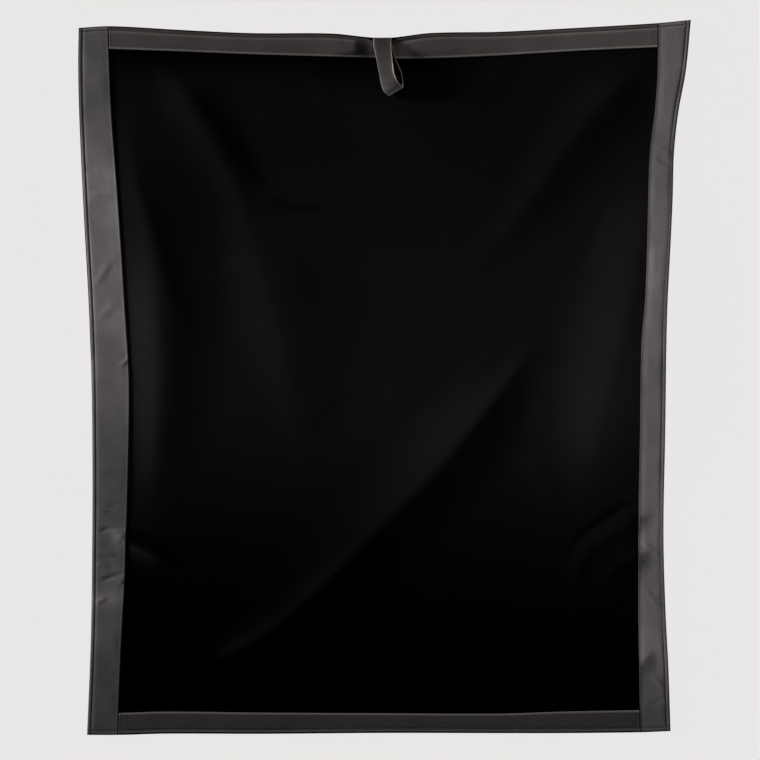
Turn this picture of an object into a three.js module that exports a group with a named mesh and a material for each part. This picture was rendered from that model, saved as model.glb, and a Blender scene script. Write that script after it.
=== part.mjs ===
import * as THREE from 'three';

// A flat cover: one black cloth edged with four strips of grey leather, with a leather loop to hang it by.
// It lies face up. Millimetres: X across, Y up the cover's length, Z up from the surface that it lies on.

// Thicknesses, and the clearance between two pieces that lie on each other
const CLOTH_THICK = 2;
const LEATHER_THICK = 1.3;
const SEAT_GAP = 0.3;
// How far the cloth's raw edge shows beyond the leather
const CLOTH_REVEAL = 1;

// How finely the cloth is divided: under a strip, from a side strip to the loop, and up the cover
const STRIP_STEPS = 3;
const SIDE_STEPS = 17;
const LENGTH_STEPS = 42;

// The side strips, from the bottom of the cover to its top: where their edges lie at a height y
const leftStrip = [
  { y: -400, outer: -334.2, inner: -300.2 },
  { y: -300, outer: -330.2, inner: -296 },
  { y: -220, outer: -328.8, inner: -291.8 },
  { y: -110, outer: -328.2, inner: -288.4 },
  { y: -5, outer: -329.2, inner: -287 },
  { y: 75, outer: -331.6, inner: -291.6 },
  { y: 190, outer: -337.8, inner: -299 },
  { y: 300, outer: -342.8, inner: -307.2 },
  { y: 355, outer: -343.8, inner: -309.6 },
  { y: 395, outer: -343.2, inner: -311 },
];
const rightStrip = [
  { y: -400, inner: 288, outer: 321.2 },
  { y: -330, inner: 286.4, outer: 318.9 },
  { y: -260, inner: 285.5, outer: 315.4 },
  { y: -180, inner: 285.6, outer: 313.3 },
  { y: -80, inner: 286.7, outer: 314.5 },
  { y: 35, inner: 288, outer: 315.5 },
  { y: 90, inner: 292.4, outer: 317 },
  { y: 200, inner: 296.3, outer: 323 },
  { y: 255, inner: 298.8, outer: 325 },
  { y: 300, inner: 304.2, outer: 330 },
  { y: 345, inner: 307.4, outer: 338.2 },
  { y: 400, inner: 307.8, outer: 343.6 },
];

// The end strips, from the left of the cover to its right: where their edges lie at a place x
const topStrip = [
  { x: -345, inner: 370.6, outer: 392.2 },
  { x: -308, inner: 369.5, outer: 394.2 },
  { x: -230, inner: 366.8, outer: 390 },
  { x: -150, inner: 363.6, outer: 386.4 },
  { x: -60, inner: 361, outer: 385.9 },
  { x: -14, inner: 359.7, outer: 381.4 },
  { x: 9, inner: 359.2, outer: 381.4 },
  { x: 52, inner: 359.2, outer: 386.5 },
  { x: 130, inner: 362.4, outer: 387.9 },
  { x: 215, inner: 367.4, outer: 392.2 },
  { x: 308, inner: 371.7, outer: 397.7 },
  { x: 345, inner: 373.2, outer: 401.3 },
];
const bottomStrip = [
  { x: -336, outer: -401.2, inner: -378.4 },
  { x: -298, outer: -401.2, inner: -377.7 },
  { x: -245, outer: -399.8, inner: -376.2 },
  { x: -140, outer: -400, inner: -377.3 },
  { x: 0, outer: -399, inner: -378 },
  { x: 130, outer: -399.2, inner: -378.4 },
  { x: 200, outer: -399.2, inner: -376.2 },
  { x: 290, outer: -398.2, inner: -374.4 },
  { x: 322, outer: -396.8, inner: -373.8 },
];

// The folds that stand up from the surface. Each crest runs down the cover through its points, and its
// slopes reach so far towards the left and the right of the cover. A fold rises over the first share of its
// length and sinks over the last.
const folds = [
  {
    name: 'beside the left strip',
    crest: [[-298, 318], [-277, 245], [-262, 177], [-253, 98], [-250, -3], [-255, -82], [-266, -163]],
    height: 7.5,
    left: 54,
    right: 90,
    rises: 0.3,
    sinks: 0.4,
  },
  {
    name: 'from the top left corner',
    crest: [[-262, 355], [-219, 314], [-190, 267], [-165, 213], [-145, 159]],
    height: 6,
    left: 42,
    right: 52,
    rises: 0.3,
    sinks: 0.6,
  },
  {
    name: 'below the top left corner',
    crest: [[-183, 256], [-149, 170], [-127, 98], [-109, 31], [-93, -48], [-82, -115]],
    height: 5.5,
    left: 60,
    right: 100,
    rises: 0.45,
    sinks: 0.45,
  },
  {
    name: 'from the top right corner inwards',
    crest: [[304, 355], [270, 330], [233, 294], [197, 247], [164, 200], [123, 148], [76, 96]],
    height: 5.5,
    left: 46,
    right: 60,
    rises: 0.2,
    sinks: 0.75,
  },
  {
    name: 'long one across the cover',
    crest: [
      [184, 56], [139, -5], [98, -57], [60, -104], [14, -151],
      [-32, -196], [-79, -241], [-131, -284], [-210, -327],
    ],
    height: 9.5,
    left: 66,
    right: 62,
    rises: 0.32,
    sinks: 0.2,
  },
  {
    name: 'beside the right strip',
    crest: [[314, 267], [300, 177], [284, 87], [269, 20], [253, -40], [238, -100], [226, -160]],
    height: 7.5,
    left: 78,
    right: 320,
    rises: 0.35,
    sinks: 0.4,
  },
  {
    name: 'crumple at the left strip',
    crest: [[-312, -166], [-268, -196], [-226, -216]],
    height: 5,
    left: 24,
    right: 30,
    rises: 0.3,
    sinks: 0.4,
  },
  {
    name: 'crumple at the right strip',
    crest: [[306, -150], [258, -172], [224, -204], [212, -262]],
    height: 4,
    left: 30,
    right: 30,
    rises: 0.25,
    sinks: 0.5,
  },
  {
    name: 'lower right corner',
    crest: [[306, -306], [276, -332], [262, -366]],
    height: 3,
    left: 28,
    right: 26,
    rises: 0.3,
    sinks: 0.3,
  },
];
const CREST_STEPS = 32;
// How round a crest is, as a share of its slope's reach, and how narrow a fold gets at its ends
const CREST_ROUND = 0.09;
const NARROWED = 0.45;

// The loop's strap: its two ends are pared thin and caught, one on the other, under the top strip's edge
const STRAP_LEFT = -12.7;
const STRAP_RIGHT = 7.3;
const TAB_THICK = 1;
const TAB_DEPTH = 6;
// Sideways from the strap's middle: the leather is drawn in and raised fully as far as FULL, by a share of
// that at PART, and not at all from NONE
const CAUGHT_FULL = 11.5;
const CAUGHT_PART = 16;
const CAUGHT_NONE = 42;
const DRAWN_IN_AT_PART = 0.3;
const RAISED_AT_PART = 0.75;
// Where the leather's edge lies behind the strap
const CAUGHT_EDGE = 378.2;
// The leather's rise at each line of the top strip, from its inner edge to its outer edge
const CAUGHT_RISE = [0, 0.55, 1, 1];

// The strap from its bend over the cover's edge, down the front leg, round the fold and up the back leg:
// its left and right edges at mid thickness
const strapSections = [
  { left: [-12.2, 371.5, 10.2], right: [7.4, 370.5, 12], thick: 1.4 },
  { left: [-9.7, 358.7, 11.4], right: [8.6, 356.5, 18.4], thick: 1.6 },
  { left: [-7.7, 348.5, 11.6], right: [9.4, 347.5, 21.2], thick: 1.6 },
  { left: [-5.7, 339.1, 11.4], right: [10.5, 339.1, 22], thick: 1.6 },
  { left: [-4.4, 331.5, 11.1], right: [13, 333.2, 20], thick: 1.6 },
  { left: [-3.2, 326, 10.6], right: [15.6, 329, 16.8], thick: 1.6 },
  { left: [-0.3, 320, 9.4], right: [18.8, 326.6, 12.8], thick: 1.6 },
  { left: [4.6, 316.6, 6.2], right: [21, 326.2, 8.4], thick: 1.6 },
  { left: [4.8, 319.4, 3.5], right: [21, 329.4, 4.6], thick: 1.6 },
  { left: [2.8, 326, 3.1], right: [20.7, 333.4, 3.2], thick: 1.6 },
  { left: [0.8, 334, 3.1], right: [20, 339.1, 3.2], thick: 1.6 },
  { left: [-2.6, 343.5, 3.2], right: [16.6, 349.2, 3.6], thick: 1.6 },
  { left: [-6.6, 351.5, 4], right: [12.5, 357.3, 5], thick: 1.6 },
  { left: [-9.8, 363.3, 6.4], right: [9.8, 367.4, 7.1], thick: 1.6 },
  { left: [-11.8, 372.5, 7.2], right: [7.9, 373.8, 7.2], thick: 1.3 },
];
// Steps from one section of the strap to the next, and sections round each bend
const STRAP_STEPS = 3;
const BEND_STEPS = 4;

// Colours and finish
const cloth = new THREE.MeshStandardMaterial({ color: 0x0c0b0c, roughness: 0.95, metalness: 0 });
const leather = new THREE.MeshStandardMaterial({ color: 0x55514f, roughness: 0.6, metalness: 0 });

const between = (low, high, share) => low + (high - low) * share;
const easedStep = (share) => share * share * (3 - 2 * share);
const clamp = THREE.MathUtils.clamp;

// A smooth curve through one column of a table, read at a place along its key column
function read(table, key, column, at) {
  const last = table.length - 1;
  const slope = (row) => {
    const before = table[Math.max(row - 1, 0)];
    const after = table[Math.min(row + 1, last)];
    return (after[column] - before[column]) / (after[key] - before[key]);
  };
  if (at <= table[0][key]) return table[0][column] + slope(0) * (at - table[0][key]);
  if (at >= table[last][key]) return table[last][column] + slope(last) * (at - table[last][key]);
  const row = table.findIndex((entry) => entry[key] > at) - 1;
  const low = table[row];
  const high = table[row + 1];
  const span = high[key] - low[key];
  const share = (at - low[key]) / span;
  const ease = easedStep(share);
  const lift = share * (1 - share) * (1 - share) * slope(row) * span;
  const drop = share * share * (1 - share) * slope(row + 1) * span;
  return between(low[column], high[column], ease) + lift - drop;
}

// The cover's height above the surface: the folds' slopes, added up
const crestLines = folds.map(({ crest }) => {
  const points = crest.map(([x, y]) => new THREE.Vector3(x, y, 0));
  return new THREE.CatmullRomCurve3(points).getSpacedPoints(CREST_STEPS);
});

function nearestOnCrest(line, x, y) {
  let nearest = { distance: Infinity };
  for (let step = 0; step < CREST_STEPS; step += 1) {
    const start = line[step];
    const run = [line[step + 1].x - start.x, line[step + 1].y - start.y];
    const off = [x - start.x, y - start.y];
    const share = clamp((off[0] * run[0] + off[1] * run[1]) / (run[0] ** 2 + run[1] ** 2), 0, 1);
    const distance = Math.hypot(off[0] - share * run[0], off[1] - share * run[1]);
    if (distance < nearest.distance) {
      const onRight = run[0] * off[1] - run[1] * off[0] > 0;
      nearest = { distance, onRight, along: (step + share) / CREST_STEPS };
    }
  }
  return nearest;
}

// The share of a fold's height that is left part of the way down its slope: steepest beside a round crest
function slopeLeft(away) {
  const past = (share) => Math.hypot(share, CREST_ROUND) - CREST_ROUND;
  return Math.max(1 - past(away) / past(1), 0) ** 2;
}

function foldHeight(x, y) {
  let height = 0;
  folds.forEach((fold, number) => {
    const { distance, onRight, along } = nearestOnCrest(crestLines[number], x, y);
    const rise = easedStep(clamp(Math.min(along / fold.rises, (1 - along) / fold.sinks), 0, 1));
    const reach = (onRight ? fold.right : fold.left) * between(NARROWED, 1, rise);
    height += fold.height * rise * slopeLeft(distance / reach);
  });
  return height;
}

// How strongly the caught strap draws in and raises the top strip at a place x: 1 is full, 0 is none
const STRAP_MIDDLE = (STRAP_LEFT + STRAP_RIGHT) / 2;

function caught(x) {
  const sideways = Math.abs(x - STRAP_MIDDLE);
  const steep = clamp((CAUGHT_PART - sideways) / (CAUGHT_PART - CAUGHT_FULL), 0, 1);
  const gentle = easedStep(clamp((CAUGHT_NONE - sideways) / (CAUGHT_NONE - CAUGHT_PART), 0, 1));
  return {
    drawnIn: between(DRAWN_IN_AT_PART * gentle, 1, steep),
    raised: between(RAISED_AT_PART * gentle, 1, steep),
  };
}

// The lines that the cover is divided by. A column line gives its x at a height y, a row line its y at a
// place x, and both run along the strips' edges.
const innerLeft = (y) => read(leftStrip, 'y', 'inner', y);
const outerLeft = (y) => read(leftStrip, 'y', 'outer', y);
const innerRight = (y) => read(rightStrip, 'y', 'inner', y);
const outerRight = (y) => read(rightStrip, 'y', 'outer', y);
const innerTop = (x) => read(topStrip, 'x', 'inner', x);
const outerTop = (x) => read(topStrip, 'x', 'outer', x);
const innerBottom = (x) => read(bottomStrip, 'x', 'inner', x);
const outerBottom = (x) => read(bottomStrip, 'x', 'outer', x);

function drawnInTop(x) {
  return outerTop(x) - caught(x).drawnIn * (outerTop(STRAP_MIDDLE) - CAUGHT_EDGE);
}

// Lines from one edge to another in even steps, with both edges
function linesAcross(from, to, steps) {
  const shares = Array.from({ length: steps + 1 }, (_, step) => step / steps);
  return shares.map((share) => (at) => between(from(at), to(at), share));
}

// A column line between the side strips that meets the top strip at a place x
function clothColumn(x) {
  const share = (x - innerLeft(CAUGHT_EDGE)) / (innerRight(CAUGHT_EDGE) - innerLeft(CAUGHT_EDGE));
  return (y) => between(innerLeft(y), innerRight(y), share);
}

const besideStrapLeft = clothColumn(STRAP_MIDDLE - CAUGHT_PART);
const besideStrapRight = clothColumn(STRAP_MIDDLE + CAUGHT_PART);
const columns = [
  (y) => outerLeft(y) - CLOTH_REVEAL,
  ...linesAcross(outerLeft, innerLeft, STRIP_STEPS),
  ...linesAcross(innerLeft, besideStrapLeft, SIDE_STEPS).slice(1),
  clothColumn(STRAP_MIDDLE - CAUGHT_FULL),
  clothColumn(STRAP_MIDDLE),
  clothColumn(STRAP_MIDDLE + CAUGHT_FULL),
  ...linesAcross(besideStrapRight, innerRight, SIDE_STEPS),
  ...linesAcross(innerRight, outerRight, STRIP_STEPS).slice(1),
  (y) => outerRight(y) + CLOTH_REVEAL,
];
const rows = [
  (x) => outerBottom(x) - CLOTH_REVEAL,
  ...linesAcross(outerBottom, innerBottom, STRIP_STEPS),
  ...linesAcross(innerBottom, innerTop, LENGTH_STEPS).slice(1, -1),
  ...linesAcross(innerTop, drawnInTop, STRIP_STEPS),
  (x) => outerTop(x) + CLOTH_REVEAL,
];
const STRIP_END = STRIP_STEPS + 1;
const LAST_COLUMN = columns.length - 1;
const LAST_ROW = rows.length - 1;

// The point where a column line and a row line cross, at the cover's height there
function crossing(column, row) {
  const ROUNDS = 8;
  let x = columns[column](0);
  let y = 0;
  for (let round = 0; round < ROUNDS; round += 1) {
    y = rows[row](x);
    x = columns[column](y);
  }
  return { x, y, z: foldHeight(x, y), column, row };
}

const crossings = rows.map((_, row) => columns.map((__, column) => crossing(column, row)));

// The crossings from one column and row to another
function patch(firstColumn, lastColumn, firstRow, lastRow) {
  return crossings.slice(firstRow, lastRow + 1).map((line) => line.slice(firstColumn, lastColumn + 1));
}

function closedGeometry(points, quads) {
  const geometry = new THREE.BufferGeometry();
  const places = points.flatMap(({ x, y, z }) => [x, y, z]);
  geometry.setAttribute('position', new THREE.Float32BufferAttribute(places, 3));
  geometry.setIndex(quads.flatMap(([a, b, c, d]) => [a, b, c, a, c, d]));
  geometry.computeVertexNormals();
  return geometry;
}

// A closed sheet of even thickness that stands on a grid of points
function sheetGeometry(grid, thick) {
  const under = grid.flat();
  const over = under.length;
  const points = [...under, ...under.map(({ x, y, z }) => ({ x, y, z: z + thick }))];
  const across = grid[0].length;
  const quads = [];
  for (let row = 0; row < grid.length - 1; row += 1) {
    for (let column = 0; column < across - 1; column += 1) {
      const [a, b] = [row * across + column, row * across + column + 1];
      const [c, d] = [b + across, a + across];
      quads.push([a + over, b + over, c + over, d + over], [a, d, c, b]);
      if (row === 0) quads.push([a, b, b + over, a + over]);
      if (row === grid.length - 2) quads.push([c, d, d + over, c + over]);
      if (column === 0) quads.push([d, a, a + over, d + over]);
      if (column === across - 2) quads.push([b, c, c + over, b + over]);
    }
  }
  return closedGeometry(points, quads);
}

// A strip of leather that lies on the cloth over a patch of it
function stripGeometry(grid, raise = () => 0) {
  const lie = CLOTH_THICK + SEAT_GAP;
  return sheetGeometry(grid.map((line) => line.map((point) => ({
    ...point,
    z: point.z + lie + raise(point),
  }))), LEATHER_THICK);
}

// An end strip stops just short of the side strips at both ends
function shortenedEnds(grid) {
  return grid.map((line) => line.map((point) => {
    const inwards = (point.column === STRIP_END) - (point.column === LAST_COLUMN - STRIP_END);
    return { ...point, x: point.x + inwards * SEAT_GAP };
  }));
}

// The top strip rises over the strap's two ends
const TAB_STACK = 2 * (TAB_THICK + SEAT_GAP);

function raisedOverTabs({ x, row }) {
  const line = row - (LAST_ROW - STRIP_END);
  return TAB_STACK * CAUGHT_RISE[line] * caught(x).raised;
}

// The strap's bends over the cover's edge: the front leg comes from the lower tab round the outside of the
// back leg, which comes from the upper tab round the leather's edge
const BEND_Y = CAUGHT_EDGE + SEAT_GAP;
const BEND_Z = CLOTH_THICK + SEAT_GAP + TAB_STACK + LEATHER_THICK / 2;
const FRONT_BEND = BEND_Z - CLOTH_THICK - SEAT_GAP - TAB_THICK / 2;
const BACK_BEND = FRONT_BEND - TAB_THICK - SEAT_GAP;

function straightSection(y, z) {
  return { left: [STRAP_LEFT, y, z], right: [STRAP_RIGHT, y, z], thick: TAB_THICK };
}

function tabAndBend(radius) {
  const sections = [
    straightSection(BEND_Y - TAB_DEPTH, BEND_Z - radius),
    straightSection(BEND_Y - TAB_DEPTH / 2, BEND_Z - radius),
  ];
  for (let step = 0; step <= BEND_STEPS; step += 1) {
    const angle = Math.PI * (step / BEND_STEPS - 0.5);
    sections.push(straightSection(BEND_Y + radius * Math.cos(angle), BEND_Z + radius * Math.sin(angle)));
  }
  return sections;
}

// A closed strap through sections that give the two edges of its width and its thickness
function strapGeometry(sections) {
  const steps = (sections.length - 1) * STRAP_STEPS;
  const edgeLine = (edge) => {
    const places = sections.map((section) => new THREE.Vector3(...section[edge]));
    return new THREE.CatmullRomCurve3(places).getPoints(steps);
  };
  const lefts = edgeLine('left');
  const rights = edgeLine('right');
  const middles = lefts.map((left, step) => left.clone().lerp(rights[step], 0.5));
  const points = [];
  const quads = [];
  for (let step = 0; step <= steps; step += 1) {
    const section = Math.min(Math.floor(step / STRAP_STEPS), sections.length - 2);
    const share = step / STRAP_STEPS - section;
    const thick = between(sections[section].thick, sections[section + 1].thick, share);
    const along = middles[Math.min(step + 1, steps)].clone().sub(middles[Math.max(step - 1, 0)]);
    const across = rights[step].clone().sub(lefts[step]);
    const outwards = along.cross(across).setLength(thick / 2);
    const corner = step * 4;
    points.push(
      lefts[step].clone().sub(outwards),
      rights[step].clone().sub(outwards),
      rights[step].clone().add(outwards),
      lefts[step].clone().add(outwards),
    );
    if (step < steps) {
      for (let side = 0; side < 4; side += 1) {
        const next = (side + 1) % 4;
        quads.push([corner + side, corner + next, corner + next + 4, corner + side + 4]);
      }
    }
  }
  const end = steps * 4;
  quads.push([3, 2, 1, 0], [end, end + 1, end + 2, end + 3]);
  return closedGeometry(points, quads);
}

function piece(name, geometry, material) {
  const mesh = new THREE.Mesh(geometry, material);
  mesh.name = name;
  return mesh;
}

const sideRows = [1, LAST_ROW - 1];
const endColumns = [STRIP_END, LAST_COLUMN - STRIP_END];
const leftPatch = patch(1, STRIP_END, ...sideRows);
const rightPatch = patch(LAST_COLUMN - STRIP_END, LAST_COLUMN - 1, ...sideRows);
const bottomPatch = shortenedEnds(patch(...endColumns, 1, STRIP_END));
const topPatch = shortenedEnds(patch(...endColumns, LAST_ROW - STRIP_END, LAST_ROW - 1));
const loopSections = [
  ...tabAndBend(FRONT_BEND),
  ...strapSections,
  ...tabAndBend(BACK_BEND).reverse(),
];

const cover = new THREE.Group();
cover.add(
  piece('cloth_panel', sheetGeometry(crossings, CLOTH_THICK), cloth),
  piece('border_left', stripGeometry(leftPatch), leather),
  piece('border_right', stripGeometry(rightPatch), leather),
  piece('border_bottom', stripGeometry(bottomPatch), leather),
  piece('border_top', stripGeometry(topPatch, raisedOverTabs), leather),
  piece('hanging_loop', strapGeometry(loopSections), leather),
);

export default cover;
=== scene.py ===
import math

import bpy
import numpy as np
from mathutils import Euler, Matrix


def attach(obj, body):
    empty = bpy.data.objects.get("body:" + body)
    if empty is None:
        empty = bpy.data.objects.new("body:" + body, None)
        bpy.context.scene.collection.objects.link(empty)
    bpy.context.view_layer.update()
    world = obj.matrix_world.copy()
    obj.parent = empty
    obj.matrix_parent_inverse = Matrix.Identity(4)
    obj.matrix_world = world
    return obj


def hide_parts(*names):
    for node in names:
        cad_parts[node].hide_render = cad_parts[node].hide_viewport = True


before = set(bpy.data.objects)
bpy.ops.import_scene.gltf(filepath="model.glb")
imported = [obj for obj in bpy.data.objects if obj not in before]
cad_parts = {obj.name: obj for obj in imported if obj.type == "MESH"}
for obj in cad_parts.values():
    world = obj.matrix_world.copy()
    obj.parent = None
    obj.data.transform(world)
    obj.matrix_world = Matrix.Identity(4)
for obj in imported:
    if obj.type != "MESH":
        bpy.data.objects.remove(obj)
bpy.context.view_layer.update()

# A flat cover lies face up on the floor: one black cloth edged with four strips of grey leather, with a
# leather loop to hang it by. X runs across the cover, Y up its length and Z up from the floor. Every size
# below is in millimetres, and becomes metres where a mesh is made.
MM = 0.001

# Thicknesses, and how the pieces lie on each other
CLOTH_THICK = 2.0
LEATHER_THICK = 1.3
LEATHER_REST = 0.06
SEAM_GAP = 0.35
TAB_GAP = 0.3

# The side strips, from the bottom of the cover to its top: where their edges lie at a height y
LEFT_STRIP = {
    "y": (-400, -300, -220, -110, -5, 75, 190, 300, 355, 395),
    "outer": (-334.2, -330.2, -328.8, -328.2, -329.2, -331.6, -337.8, -342.8, -343.8, -343.2),
    "inner": (-300.2, -296, -291.8, -288.4, -287, -291.6, -299, -307.2, -309.6, -311),
}
RIGHT_STRIP = {
    "y": (-400, -330, -260, -180, -80, 35, 90, 200, 255, 300, 345, 400),
    "inner": (288, 286.4, 285.5, 285.6, 286.7, 288, 292.4, 296.3, 298.8, 304.2, 307.4, 307.8),
    "outer": (321.2, 318.9, 315.4, 313.3, 314.5, 315.5, 317, 323, 325, 330, 338.2, 343.6),
}
# The end strips, from the left of the cover to its right: where their edges lie at a place x
TOP_STRIP = {
    "x": (-345, -308, -230, -150, -60, -14, 9, 52, 130, 215, 308, 345),
    "inner": (370.6, 369.5, 366.8, 363.6, 361, 359.7, 359.2, 359.2, 362.4, 367.4, 371.7, 373.2),
    "outer": (392.2, 394.2, 390, 386.4, 385.9, 381.4, 381.4, 386.5, 387.9, 392.2, 397.7, 401.3),
}
BOTTOM_STRIP = {
    "x": (-336, -298, -245, -140, 0, 130, 200, 290, 322),
    "outer": (-401.2, -401.2, -399.8, -400, -399, -399.2, -399.2, -398.2, -396.8),
    "inner": (-378.4, -377.7, -376.2, -377.3, -378, -378.4, -376.2, -374.4, -373.8),
}
# How far the cloth's raw edge shows beyond the leather
SIDE_REVEAL = {"y": (-400, -40, 10, 40, 400), "left": (0.6, 0.6, 0.7, 1.1, 1.1), "right": (0.7, 0.6, 0.6, 0.7, 0.9)}
END_REVEAL = 1.2

# The share of its length over which a crease rises and sinks, unless its row says otherwise
CREASE_ENDS = 0.35


def ridge(height, left, right, *crest, rises=CREASE_ENDS, sinks=CREASE_ENDS):
    """A fold or crease: its height, how far its slopes reach to its left and right, and its crest's points."""
    return {"height": height, "left": left, "right": right, "crest": crest, "rises": rises, "sinks": sinks}


# The folds that stand up from the floor, each with its crest from its upper end down the cover
FOLDS = {
    "beside the left strip": ridge(
        7.5, 54, 90, (-298, 318), (-277, 245), (-262, 177), (-253, 98), (-250, -3), (-255, -82), (-266, -163),
        rises=0.3, sinks=0.4,
    ),
    "from the top left corner": ridge(
        6, 42, 52, (-262, 355), (-219, 314), (-190, 267), (-165, 213), (-145, 159),
        rises=0.3, sinks=0.6,
    ),
    "below the top left corner": ridge(
        5.5, 60, 100, (-183, 256), (-149, 170), (-127, 98), (-109, 31), (-93, -48), (-82, -115),
        rises=0.45, sinks=0.45,
    ),
    "from the top right corner inwards": ridge(
        5.5, 46, 60, (304, 355), (270, 330), (233, 294), (197, 247), (164, 200), (123, 148), (76, 96),
        rises=0.2, sinks=0.75,
    ),
    "long one across the cover": ridge(
        9.5, 66, 62, (184, 56), (139, -5), (98, -57), (60, -104), (14, -151), (-32, -196), (-79, -241),
        (-131, -284), (-210, -327),
        rises=0.32, sinks=0.2,
    ),
    "beside the right strip": ridge(
        7.5, 78, 320, (314, 267), (300, 177), (284, 87), (269, 20), (253, -40), (238, -100), (226, -160),
        rises=0.35, sinks=0.4,
    ),
    "crumple at the left strip": ridge(
        5, 24, 30, (-312, -166), (-268, -196), (-226, -216),
        rises=0.3, sinks=0.4,
    ),
    "crumple at the right strip": ridge(
        4, 30, 30, (306, -150), (258, -172), (224, -204), (212, -262),
        rises=0.25, sinks=0.5,
    ),
    "lower right corner": ridge(
        3, 28, 26, (306, -306), (276, -332), (262, -366),
        rises=0.3, sinks=0.3,
    ),
}
# Folds whose crest is softer than the others': how much of its height and of its reach is rounded off
SOFT_CRESTS = {
    "beside the left strip": (0.1, 0.3),
    "from the top left corner": (0.2, 0.4),
    "below the top left corner": (0.2, 0.4),
    "from the top right corner inwards": (0.15, 0.35),
    "beside the right strip": (0.15, 0.35),
}
# Finer creases of the cloth, as soft troughs and ridges on those folds
CLOTH_CREASES = (
    ridge(0.7, 6, 5, (-291, 16), (-275, 18), (-258, 23)),
    ridge(-0.5, 9, 9, (-288, 8), (-272, -6), (-262, -24)),
    ridge(-1.5, 12, 9, (-294, -169), (-275, -175), (-252, -187), (-230, -211)),
    ridge(1.2, 15, 9, (-294, -190), (-268, -199), (-236, -211)),
    ridge(-1.4, 13, 10, (290, -142), (254, -153), (229, -171), (214, -198)),
    ridge(4.2, 36, 30, (304, -192), (276, -206), (250, -226), (240, -252)),
    ridge(1.1, 18, 12, (194, -246), (214, -261), (234, -278)),
    ridge(0.9, 14, 12, (286, -232), (262, -246), (246, -268)),
    ridge(0.8, 14, 12, (280, -286), (256, -292), (232, -306)),
    ridge(1.2, 12, 10, (254, -372), (269, -361), (285, -349)),
    ridge(-0.7, 6, 6, (289, 21), (276, 24), (254, 29)),
    ridge(-0.5, 12, 10, (206, 52), (182, 62), (150, 66)),
    ridge(-0.4, 9, 7, (170, 98), (189, 95), (209, 92)),
    ridge(0.8, 10, 14, (-290, -341), (-247, -336), (-204, -327)),
    ridge(0.35, 26, 22, (58, -4), (26, -14), (-8, -12)),
    ridge(0.9, 34, 26, (150, 356), (118, 326), (72, 306)),
    ridge(0.6, 30, 26, (-88, 356), (-72, 330), (-66, 300)),
    ridge(0.7, 26, 22, (136, 44), (104, 8), (78, -30)),
    ridge(-0.9, 24, 20, (262, 236), (240, 196), (226, 150), (222, 110)),
    ridge(0.8, 30, 26, (150, -80), (178, -110), (196, -150)),
    ridge(
        4.5, 40, 40, (60, -104), (14, -151), (-32, -196), (-79, -241), (-131, -284), (-196, -322),
        rises=0.7, sinks=0.2,
    ),
    ridge(0.6, 24, 22, (40, -250), (78, -262), (120, -268)),
    ridge(0.5, 22, 24, (-40, -330), (10, -322), (58, -330)),
)
# Creases along which shade is painted on the cloth: how strongly, and how far to the left and right of the crease
PAINTED_SHADE_CREASES = (
    ridge(0.45, 12, 9, (-148, 204), (-122, 198), (-100, 190), (-78, 191), (-54, 184)),
    ridge(0.6, 18, 28, (-292, 301), (-274, 222), (-244, 132), (-210, 14)),
    ridge(0.7, 26, 26, (-240, 352), (-208, 314), (-168, 258), (-138, 222), (-108, 206)),
    ridge(0.6, 5, 9, (-290, -174), (-264, -182), (-232, -211)),
    ridge(0.8, 11, 9, (290, -148), (271, -142), (253, -154), (230, -169), (211, -187), (205, -212)),
    ridge(0.16, 12, 10, (-96, -84), (-74, -46), (-34, -18), (20, -6)),
)
# Folds with light painted on one side of them
PAINTED_LIGHT_FOLDS = (
    ridge(0.9, 26, 3, (-300, -180), (-268, -196), (-232, -213)),
    ridge(0.3, 4, 34, (300, -158), (266, -168), (240, -186), (226, -214)),
    ridge(0.36, 30, 7, (14, -151), (-32, -196), (-79, -241), (-131, -284), (-204, -324), rises=0.5, sinks=0.15),
)
# The side strips from end to end: painted shade along the leather, above 0 darker than its dye and below 0 painted
# light, how much painted shade darkens the upper part of the rolled edge, and how deep the topstitching draws it in
LEFT_SHADE_AND_DRAW = {
    "y": (-380, -310, -265, -250, -235, -200, -90, -25, 40, 90, 155, 225, 290, 360),
    "shade": (0.9, 0.65, 0.3, -0.7, 0.1, 0.45, 0.3, -0.2, -0.65, -1.1, -1.1, -1.4, -0.2, 0.05),
    "edge": 0.8, "edge_from": 17, "edge_over": 8,
    "drawn_y": (-400, 400), "drawn": (1, 1),
}
RIGHT_SHADE_AND_DRAW = {
    "y": (-375, -342, -322, -300, -250, -180, -40, 20, 100, 155, 220, 280),
    "shade": (1.0, 0.6, 0.05, 0.1, 0.3, -0.1, -0.1, -0.15, -0.4, -0.4, 0.1, 0),
    "edge": 0.35, "edge_from": 60, "edge_over": 60,
    "drawn_y": (-345, -290, -250, -165, -90, 30, 80, 130, 250, 305),
    "drawn": (1, 0.5, 0.35, 0.4, 0.7, 0.65, 0.4, 0.3, 0.35, 1),
}
# How leather is lighter from its rolled edge inwards, and how strongly at its turned inner edge: on the side strips
# rubbed light, on the end strips a painted highlight. The side strips have painted shade along that turned edge
# instead.
EDGE_WEAR_HIGHLIGHT_AND_SHADE = {
    "side": {"rolled": ((0, 0.5, 1.4, 2.6), (0.9, 1, 0.5, 0)), "turned": 0, "drawn": 1},
    "top": {"rolled": ((4.0, 4.8, 6.0, 7.8), (0, 0.55, 0.5, 0)), "turned": 1.5, "drawn": 0},
    "bottom": {"rolled": ((0.9, 1.4, 2.2, 2.9), (0, 1, 0.9, 0)), "turned": 1.5, "drawn": 0},
}
# Along an end strip's turned inner edge a painted highlight, and along a side strip's painted shade
TURNED_HIGHLIGHT = ((0, 0.3, 1.5, 2.4), (0.8, 1, 0.9, 0))
TURNED_SHADE = ((0.4, 0.9, 1.7), (1.7, 1.3, 0))
# The outermost millimetre of an end strip rolls under and is darker: partly its dye, partly painted shade
END_EDGE = ((0.5, 1.1), (1.3, 0))
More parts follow.
